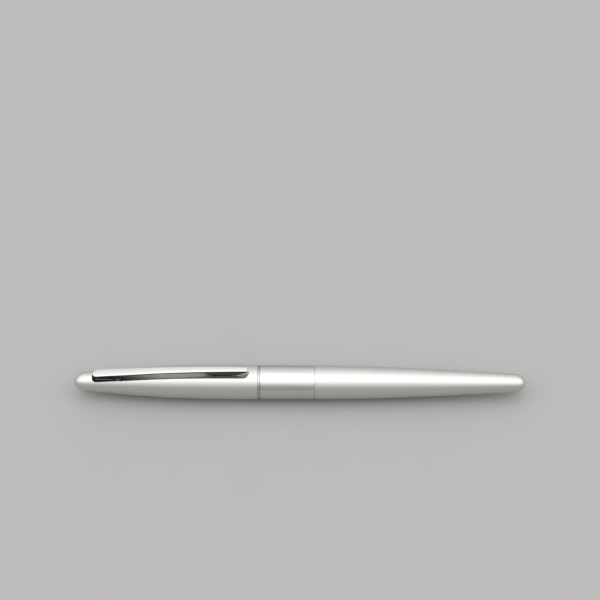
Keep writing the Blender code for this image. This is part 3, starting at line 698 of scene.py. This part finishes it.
def make_liner(plastic, steel):
    """Plastic inner cap with a soft lip, and the screw that holds it to the anchor."""
    wall = LINER_END + LINER_END_WALL
    near_mouth = -2.6

    def outside(x):
        return cap_bore(x) - FIT

    outer = [(LINER_MOUTH, outside(LINER_MOUTH), 0.1)]
    outer += [(x, outside(x)) for x in steps(near_mouth, LINER_END + 0.6, 40)]
    outer += [(LINER_END, outside(LINER_END), 0.25), (LINER_END, SCREW_HOLE)]
    inner = [(wall, SCREW_HOLE), (wall, outside(wall) - LINER_WALL, 0.3)]
    inner += [(x, outside(x) - LINER_WALL) for x in steps(wall + 0.8, near_mouth, 40)]
    inner += [(LINER_MOUTH, outside(LINER_MOUTH) - LINER_WALL, 0.1)]
    liner = lathe("liner_tube", rounded(outer + inner), segments=144)
    show(liner, "inner_cap", "liner", plastic)
    head = wall + FIT
    top = head + SCREW_HEAD
    profile = [(top, 0.0), (top, 0.2), (top, SCREW_HEAD_RADIUS, 0.22), (head, SCREW_HEAD_RADIUS, 0.05),
               (head, SCREW_RADIUS)]
    profile += thread_profile(head - 0.2, SCREW_TIP + 0.4, SCREW_RADIUS, SCREW_ROOT, SCREW_PITCH)
    profile += [(SCREW_TIP, 0.4), (SCREW_TIP, 0.0)]
    screw = lathe("liner_screw", rounded(profile, closed=False), segments=64, ring=False)
    slot = box_piece("driver_cutter", (head + 0.45, -1.6, -0.14), (head + 1.5, 1.6, 0.14))
    combine(screw, slot, "DIFFERENCE")
    show(screw, "inner_cap_screw", "liner", steel)


def thread_profile(start, end, crest, root, pitch):
    """Small ridges as (x, radius) points from start to end."""
    count = max(1, round(abs(end - start) / pitch))
    step = (end - start) / count
    points = []
    for i in range(count):
        here = start + step * i
        points += [(here + share * step, radius)
                   for share, radius in ((0.0, root), (0.35, crest), (0.55, crest), (0.9, root))]
    return points


# ---------------------------------------------------------------- section, nib and feed


def helix(x, angle):
    """Height of the thread's ridge at a point, from 0 at its root to 1 at its crest, fading at its ends."""
    phase = ((x - THREAD_FROM) / THREAD_PITCH - angle / (2 * math.pi)) % 1.0
    ridge = 0.5 - 0.5 * math.cos(2 * math.pi * phase)
    fade = min(1.0, max(0.0, (x - THREAD_FROM) / THREAD_FADE), max(0.0, (THREAD_TO - x) / THREAD_FADE))
    return ridge * fade


def make_section(black, chrome, brass):
    """Grip section, its clutch ring and the threaded collar behind it."""
    mouth = -SEAM_HALF
    groove_from, groove_to = CLUTCH_FROM - FIT, CLUTCH_TO + FIT
    groove = CLUTCH_BORE - FIT
    outer = [(mouth, SHOULDER_RADIUS, 0.14), (SHOULDER_END, SHOULDER_RADIUS, 0.1),
             (SHOULDER_END, NECK_OF_GRIP, 0.08), (groove_to, NECK_OF_GRIP, 0.04), (groove_to, groove),
             (groove_from, groove), (groove_from, NECK_OF_GRIP, 0.04)]
    nose, nose_radius = GRIP_SHAPE[-1]
    outer += [(x, smooth(GRIP_SHAPE, x)) for x in steps(-4.7, nose, 48)]
    for angle in steps(0.0, math.pi / 2, 12)[1:]:
        swell = 0.40 * (math.cos(angle) - 1.0) + 0.02 * math.sin(2 * angle)
        outer.append((nose - GRIP_NOSE * math.sin(angle), nose_radius + swell))
    inner = [(nose - GRIP_NOSE, GRIP_BORE, 0.05), (COUNTERBORE_END, GRIP_BORE),
             (COUNTERBORE_END, COUNTERBORE), (mouth, COUNTERBORE)]
    grip = lathe("grip_skin", rounded(outer + inner), segments=144)
    show(grip, "grip_section", "grip", black)
    ring = [(CLUTCH_TO, CLUTCH_RADIUS, 0.06), (CLUTCH_FROM, CLUTCH_RADIUS, 0.06), (CLUTCH_FROM, CLUTCH_BORE),
            (CLUTCH_TO, CLUTCH_BORE)]
    show(lathe("clutch_band", rounded(ring), segments=144), "clutch_ring", "grip", chrome)

    def male(x, radius, angle):
        on_thread = radius > MALE_ROOT - 0.05 and THREAD_FROM <= x <= THREAD_TO
        return MALE_DEPTH * helix(x, angle) if on_thread else 0.0

    start, end = THREAD_ZONE
    outer = [(COLLAR_END, MALE_ROOT - 0.12), (COLLAR_END - 0.15, MALE_ROOT)]
    outer += [(x, MALE_ROOT) for x in steps(end, start, 92)]
    outer += [(1.0, 3.66), (0.6, 3.66), (0.6, COLLAR_SKIRT), (COLLAR_FRONT, COLLAR_SKIRT)]
    inner = [(COLLAR_FRONT, COLLAR_BORE), (COLLAR_END - 0.1, COLLAR_BORE), (COLLAR_END, COLLAR_BORE + 0.06)]
    collar = lathe("collar_thread", outer + inner, segments=120, relief=male, sharp=70.0)
    show(collar, "thread_collar", "grip", brass)


def nib_centre(x):
    """Height of the centre line of the nib's curved sheet, which droops towards the tip."""
    reach = max(0.0, (NIB_STRAIGHT - x) / (NIB_STRAIGHT - NIB_TIP))
    return -NIB_DROP * reach ** 1.6


def nib_section(x):
    """Nib's closed section: outer arc with a shallow border groove, then the inner arc back."""
    half = smooth(NIB_HALF_WIDTH, x)
    spread = math.asin(min(0.99, half / NIB_RADIUS))
    border = 0.03 * min(1.0, max(0.0, (x + 38.0) / 1.0), max(0.0, (-21.5 - x) / 0.5))
    turns = [-1.0, -0.95, -0.90, -0.86, -0.84, -0.80, -0.78] + steps(-0.7, 0.7, 16)
    turns += [0.78, 0.80, 0.84, 0.86, 0.90, 0.95, 1.0]
    outer, inner = [], []
    for turn in turns:
        angle = spread * turn
        groove = border if 0.79 < abs(turn) < 0.85 else 0.0
        for row, radius in ((outer, NIB_RADIUS - groove), (inner, NIB_RADIUS - NIB_SHEET)):
            row.append((x, radius * math.sin(angle), nib_centre(x) + radius * math.cos(angle)))
    return outer + inner[::-1]


def make_nib(steel):
    """Curved steel nib with a border groove, a breather hole, a slit and a rounded tip."""
    stations = [NIB_TIP, NIB_TIP + 0.2, NIB_TIP + 0.6] + steps(NIB_TIP + 1.0, -21.0, 70)
    stations += steps(-20.0, NIB_REAR, 8)
    nib = loft("nib_sheet", [nib_section(x) for x in stations], sharp=40.0)
    tip = (NIB_TIP + 0.28, 0.0, nib_centre(NIB_TIP) + NIB_RADIUS - 0.2)
    pellet = ball("nib_pellet", tip, (0.36, 0.32, 0.28))
    combine(nib, pellet, "UNION")
    slit = box_piece("slit_cutter", (NIB_TIP - 1.0, -0.05, -1.0), (BREATHER_X, 0.05, 4.0))
    combine(nib, slit, "DIFFERENCE")
    turns = steps(0.0, 2 * math.pi, 32)[:-1]
    hole = [[(BREATHER_X + BREATHER_RADIUS * math.cos(a), BREATHER_RADIUS * math.sin(a), z) for a in turns]
            for z in (0.0, 4.0)]
    combine(nib, loft("breather_cutter", hole), "DIFFERENCE")
    show(nib, "nib", "grip", steel)


def ball(name, centre, radii, count=20):
    """Ellipsoid with its poles on X."""
    sections = []
    for i in range(count + 1):
        turn = math.pi * (0.02 + 0.96 * i / count)
        ring = []
        for k in range(24):
            angle = 2 * math.pi * k / 24
            ring.append((centre[0] - radii[0] * math.cos(turn),
                         centre[1] + radii[1] * math.sin(turn) * math.cos(angle),
                         centre[2] + radii[2] * math.sin(turn) * math.sin(angle)))
        sections.append(ring)
    return loft(name, sections)


def feed_section(x, inset=0.0):
    """Feed at x: its top follows the underside of the nib, its belly is half an ellipse."""
    half = smooth(FEED_HALF_WIDTH, x) - inset
    depth = smooth(FEED_DEPTH, x) - inset
    ceiling = NIB_RADIUS - NIB_SHEET - FIT
    edge = nib_centre(x) + math.sqrt(ceiling ** 2 - half ** 2)
    rise = 0.045 * max(0.0, FEED_STRAIGHT - x)
    floor = min(edge - 0.1, -depth + rise * (edge - 0.1 + depth))
    top = [(x, y, nib_centre(x) + math.sqrt(ceiling ** 2 - y ** 2) - inset) for y in steps(-half, half, 12)]
    belly = []
    for i in range(1, 28):
        angle = math.pi * i / 28
        belly.append((x, half * math.cos(angle), edge - (edge - floor) * math.sin(angle)))
    return top + belly


def make_feed(black):
    """Black feed with its fins under the nib."""
    tip, rear = FEED_DEPTH[0][0], FEED_DEPTH[-1][0]
    stations = [(tip, 0.06), (tip + 0.06, 0.0)] + [(x, 0.0) for x in steps(-37.0, -11.1, 80)] + [(rear, 0.08)]
    feed = loft("feed_body", [feed_section(x, inset) for x, inset in stations], sharp=40.0)
    for i in range(FIN_COUNT):
        right = FIN_FIRST - FIN_PITCH * i
        lowest = min(point[2] for point in feed_section(right))
        gap = box_piece("fin_cutter", (right - FIN_GAP, -3.0, -4.0), (right, 3.0, lowest + FIN_DEPTH))
        combine(feed, gap, "DIFFERENCE")
    show(feed, "feed", "grip", black)


def make_housing(black):
    """Sleeve that holds the nib and the feed, and the spigot behind them."""
    ring = [(HOUSING_TO, SLEEVE_RADIUS, 0.1), (HOUSING_FROM, SLEEVE_RADIUS, 0.08),
            (HOUSING_FROM, HOUSING_BORE, 0.05), (HOUSING_TO, HOUSING_BORE)]
    show(lathe("housing_sleeve", rounded(ring), segments=96), "nib_housing", "grip", black)
    spigot = [(NIPPLE_TIP, 0.95, 0.08), (NIPPLE_TIP - 0.5, NIPPLE_RADIUS, 0.08),
              (NIPPLE_FLANGE_TO, NIPPLE_RADIUS), (NIPPLE_FLANGE_TO, SLEEVE_RADIUS, 0.06),
              (NIPPLE_FLANGE_FROM, SLEEVE_RADIUS, 0.06), (NIPPLE_FLANGE_FROM, NIPPLE_BORE),
              (NIPPLE_TIP, NIPPLE_BORE, 0.05)]
    show(lathe("ink_spigot", rounded(spigot), segments=96), "ink_nipple", "grip", black)


# ---------------------------------------------------------------- barrel


def make_barrel(satin, polished, ring_look, brass):
    """Barrel with its polished band, its threaded bush and the ring in the seam."""
    edge = BARREL_TAPER[-1][0]
    outer = dome(barrel_radius, edge, BARREL_DOME)[::-1]
    outer += [(x, barrel_radius(x)) for x in steps(edge, 18.4, 120)]
    outer += [(18.0, barrel_radius(18.0)), (NECK_TO, barrel_radius(NECK_TO) - 0.09, 0.04),
              (NECK_TO, NECK_RADIUS), (NECK_FROM, NECK_RADIUS)]
    inner = [(NECK_FROM, BARREL_BORE)]
    inner += [(x, min(BARREL_BORE, barrel_radius(x) - BARREL_WALL))
              for x in steps(BORE_STRAIGHT, BORE_END, 30)]
    inner.append((BORE_END, 0.0))
    shell = lathe("barrel_skin", rounded(outer + inner, closed=False), segments=192, ring=False, sharp=28.0)
    show(shell, "barrel_shell", "barrel", satin)
    band = [(BAND_END, barrel_radius(BAND_END), 0.12)]
    band += [(x, barrel_radius(x)) for x in steps(BAND_END - 0.6, SEAM_HALF + 0.6, 30)]
    band += [(SEAM_HALF, barrel_radius(SEAM_HALF), 0.15), (SEAM_HALF, BAND_BORE), (BAND_END, BAND_BORE)]
    sleeve = lathe("band_sleeve", rounded(band), segments=192)
    show(sleeve, "barrel_band", "barrel", polished)
    ring = [(TRIM_HALF, TRIM_RADIUS, 0.06), (-TRIM_HALF, TRIM_RADIUS, 0.06), (-TRIM_HALF, TRIM_BORE),
            (TRIM_HALF, TRIM_BORE)]
    show(lathe("seam_ring", rounded(ring), segments=144), "trim_ring", "ring", ring_look)

    def female(x, radius, angle):
        on_thread = radius < BUSH_RADIUS - 0.07 and THREAD_FROM <= x <= THREAD_TO
        return -FEMALE_DEPTH * helix(x, angle + math.pi) if on_thread else 0.0

    start, end = THREAD_ZONE
    bevel = 0.07
    outer = [(BUSH_END, BUSH_RADIUS - bevel), (BUSH_END - bevel, BUSH_RADIUS),
             (BUSH_FROM + bevel, BUSH_RADIUS), (BUSH_FROM, BUSH_RADIUS - bevel)]
    inner = [(x, FEMALE_ROOT) for x in [BUSH_FROM, 2.6] + steps(start, end, 92) + [BUSH_END]]
    bush = lathe("bush_thread", outer + inner, segments=120, relief=female, sharp=70.0)
    show(bush, "barrel_bush", "barrel", brass)


# ---------------------------------------------------------------- converter


def make_converter(clear, chrome):
    """Converter's clear reservoir and the metal sleeve around its rear."""
    tube = [(TUBE_END, TUBE_RADIUS, 0.08), (-8.0, TUBE_RADIUS, 0.3), (TUBE_FRONT, 2.70, 0.1),
            (TUBE_FRONT, TUBE_MOUTH, 0.1), (MOUTH_END, TUBE_MOUTH), (MOUTH_END, RESERVOIR_RADIUS, 0.3),
            (TUBE_END, RESERVOIR_RADIUS)]
    reservoir = lathe("reservoir_tube", rounded(tube), segments=96)
    show(reservoir, "converter_tube", "converter", clear)
    bore, radius, lip = TUBE_RADIUS + FIT, 3.30, 2.32
    profile = [(SLEEVE_TO, radius - 0.1), (SLEEVE_TO - 0.1, radius, 0.05), (SLEEVE_FROM, radius, 0.05),
               (SLEEVE_FROM, bore), (SLEEVE_TO - 0.5, bore), (SLEEVE_TO - 0.5, lip), (SLEEVE_TO, lip)]
    sleeve = lathe("sleeve_tube", rounded(profile), segments=96)
    show(sleeve, "converter_sleeve", "converter", chrome)


def make_knob(black):
    """Drive nut inside the sleeve, and the fluted knob on its neck."""
    nut_bore = 0.99
    nut = [(NUT_TO, NUT_NECK_RADIUS, 0.05), (24.88, NUT_NECK_RADIUS), (24.88, NUT_RADIUS, 0.1),
           (NUT_FROM, NUT_RADIUS, 0.1), (NUT_FROM, nut_bore), (NUT_TO, nut_bore)]
    show(lathe("nut_body", rounded(nut), segments=96), "drive_nut", "knob", black)
    start, end = FLUTES

    def flutes(x, radius, angle):
        if radius < 2.7 or not start < x < end:
            return 0.0
        fade = min(1.0, (x - start) / 0.5, (end - x) / 0.5)
        return -FLUTE_DEPTH * fade * (0.5 - 0.5 * math.cos(FLUTE_COUNT * angle)) ** 2

    outer = [(KNOB_END, 0.0), (KNOB_END, 1.4), (46.58, 1.75), (46.45, 2.2), (46.15, 2.55), (45.7, 2.80),
             (45.4, KNOB_RADIUS)]
    outer += [(x, KNOB_RADIUS) for x in steps(end, start, 24)]
    outer += [(26.0, KNOB_RADIUS), (25.85, 2.82), (KNOB_FROM, 2.73)]
    inner = [(KNOB_FROM, 2.26), (27.2, 2.26), (27.2, 1.3), (45.4, 1.3), (45.4, 0.0)]
    knob = lathe("knob_body", outer + inner, segments=192, ring=False, relief=flutes)
    show(knob, "converter_knob", "knob", black)


def make_piston(rubber, grey):
    """Rubber seal with two lips, and the threaded rod whose head it sits on."""
    lip, waist = SEAL_RADIUS, SEAL_WAIST
    head = ROD_HEAD_RADIUS + FIT
    profile = [(-4.3, 0.0), (-4.3, head), (-2.3, head), (-2.3, lip, 0.06), (-3.0, lip, 0.08),
               (-3.25, waist, 0.08), (-4.35, waist, 0.08), (-4.6, lip, 0.08), (-5.15, lip, 0.1),
               (-5.3, 1.94, 0.1), (-5.3, 0.0)]
    seal = lathe("seal_body", rounded(profile, closed=False), segments=96, ring=False)
    show(seal, "piston_seal", "piston", rubber)
    profile = [(ROD_END, 0.0), (ROD_END, 0.7), (ROD_END - 0.2, 0.86)]
    profile += thread_profile(24.2, -1.9, 0.90, 0.76, 0.7)
    profile += [(-2.4, 0.88), (-2.4, ROD_HEAD_RADIUS, 0.05), (-4.24, ROD_HEAD_RADIUS, 0.05), (-4.24, 0.0)]
    rod = lathe("rod_screw", rounded(profile, closed=False), segments=48, ring=False)
    show(rod, "piston_rod", "piston", grey)


# ---------------------------------------------------------------- stage, light and camera


def make_stage():
    """Plain pale floor under the pen."""
    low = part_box("cap_shell")[0].z
    reach = 3.0
    corners = [(-reach, -reach, low), (reach, -reach, low), (reach, reach, low), (-reach, reach, low)]
    mesh = bpy.data.meshes.new("floor")
    mesh.from_pydata(corners, [], [(0, 1, 2, 3)])
    floor = bpy.data.objects.new("floor", mesh)
    bpy.context.scene.collection.objects.link(floor)
    paper = surface("pale_floor", (0.315, 0.312, 0.306), 0.7, metallic=0.0, stretch=(40, 40, 40), tint=0.015,
                    wear=0.05)
    mesh.materials.append(paper)


def make_world():
    """Soft surroundings, bright overhead and dimmer towards the front and back horizons.

    The light's level depends only on the angle about the pen's axis, from the front (0) over the top (90)
    to the back (180 degrees).
    """
    world = bpy.data.worlds.new("studio")
    bpy.context.scene.world = world
    world.use_nodes = True
    nodes, links = world.node_tree.nodes, world.node_tree.links
    place = nodes.new("ShaderNodeTexCoord")
    split = nodes.new("ShaderNodeSeparateXYZ")
    links.new(place.outputs["Generated"], split.inputs["Vector"])
    flip = nodes.new("ShaderNodeMath")
    flip.operation = "MULTIPLY"
    flip.inputs[1].default_value = -1.0
    links.new(split.outputs["Y"], flip.inputs[0])
    angle = nodes.new("ShaderNodeMath")
    angle.operation = "ARCTAN2"
    links.new(split.outputs["Z"], angle.inputs[0])
    links.new(flip.outputs["Value"], angle.inputs[1])
    share = nodes.new("ShaderNodeMath")
    share.operation = "DIVIDE"
    share.inputs[1].default_value = math.pi
    links.new(angle.outputs["Value"], share.inputs[0])
    ramp = nodes.new("ShaderNodeValToRGB")
    stops = [(0, 0.30), (24, 0.38), (43, 0.78), (65, 1.47), (80, 1.52), (98, 1.45), (126, 0.93), (156, 0.62),
             (180, 0.42)]
    elements = ramp.color_ramp.elements
    elements[0].position = 0.0
    elements[1].position = 1.0
    for degrees, level in stops[1:-1]:
        elements.new(degrees / 180.0)
    for element, (degrees, level) in zip(elements, stops):
        element.color = (level, level, level, 1.0)
    links.new(share.outputs["Value"], ramp.inputs["Fac"])
    background = nodes["Background"]
    background.inputs["Strength"].default_value = 1.4
    links.new(ramp.outputs["Color"], background.inputs["Color"])


def make_camera():
    """Camera in front of and above the pen, at the photograph's viewing angle."""
    camera = bpy.data.cameras.new("camera")
    camera.lens = 85.0
    camera.sensor_width = 36.0
    camera.clip_start = 0.01
    camera.clip_end = 20.0
    obj = bpy.data.objects.new("camera", camera)
    bpy.context.scene.collection.objects.link(obj)
    distance = 434.6
    sight = math.radians(55.5)
    tilt = math.radians(52.18)
    roll = math.radians(0.242)
    middle = 12.40
    place = Vector((middle, -distance * math.cos(sight), distance * math.sin(sight))) * MM
    turn = Matrix.Rotation(math.pi / 2 - tilt, 4, "X") @ Matrix.Rotation(roll, 4, "Z")
    obj.matrix_world = Matrix.Translation(place) @ turn
    bpy.context.scene.camera = obj


def main():
    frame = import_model()
    if not frame["nodes"]:
        raise RuntimeError("the frame is empty")

    # the satin paints shade on the walls of the clip's slot
    satin = surface("satin_steel_look", (0.60, 0.588, 0.572), 0.41, stretch=(9000, 900, 900), tint=0.02,
                    wear=0.02, bump=0.06, painted_shade=(0.25, 0.5))
    polished = surface("polished_steel_look", (0.60, 0.59, 0.575), 0.13, stretch=(60, 9000, 9000), tint=0.03,
                       wear=0.04, bump=0.02)
    flat_look = surface("polished_flat_look", (0.60, 0.588, 0.572), 0.17, stretch=(60, 9000, 9000), tint=0.02,
                        wear=0.03)
    # the chrome paints shade on the clip's sides, inner leg and underside where the clip has it
    chrome = surface("chrome_clip_look", (0.62, 0.615, 0.605), 0.12, stretch=(60, 5000, 5000), tint=0.02,
                     wear=0.03, painted_shade=(0.08, 0.40))
    ring_look = surface("seam_ring_look", (0.50, 0.49, 0.48), 0.16, tint=0.03)
    black = surface("black_plastic_look", (0.012, 0.012, 0.013), 0.20, metallic=0.0, tint=0.1,
                    Coat_Weight=0.4, Coat_Roughness=0.06)
    grey = surface("grey_plastic_look", (0.03, 0.03, 0.032), 0.45, metallic=0.0, tint=0.05)
    anchor = surface("anchor_plastic_look", (0.012, 0.012, 0.012), 0.6, metallic=0.0, tint=0.1)
    brass = surface("brass_look", (0.80, 0.60, 0.30), 0.24, stretch=(6000, 600, 600), tint=0.04, wear=0.04)
    steel = surface("nib_steel_look", (0.82, 0.81, 0.79), 0.14, tint=0.02, wear=0.03)
    clear = surface("clear_plastic_look", (0.95, 0.965, 0.97), 0.05, metallic=0.0, tint=0.01, wear=0.02,
                    Transmission_Weight=0.95, IOR=1.49)
    rubber = surface("seal_rubber_look", (0.02, 0.02, 0.02), 0.6, metallic=0.0, tint=0.1)

    make_cap(satin, flat_look)
    make_anchor(anchor)
    make_clip(chrome)
    make_liner(grey, steel)
    make_section(black, chrome, brass)
    make_nib(steel)
    make_feed(black)
    make_housing(black)
    make_barrel(satin, polished, ring_look, brass)
    make_converter(clear, chrome)
    make_knob(black)
    make_piston(rubber, grey)

    make_stage()
    make_world()
    make_camera()
    bpy.context.scene.view_settings.view_transform = "Standard"


main()
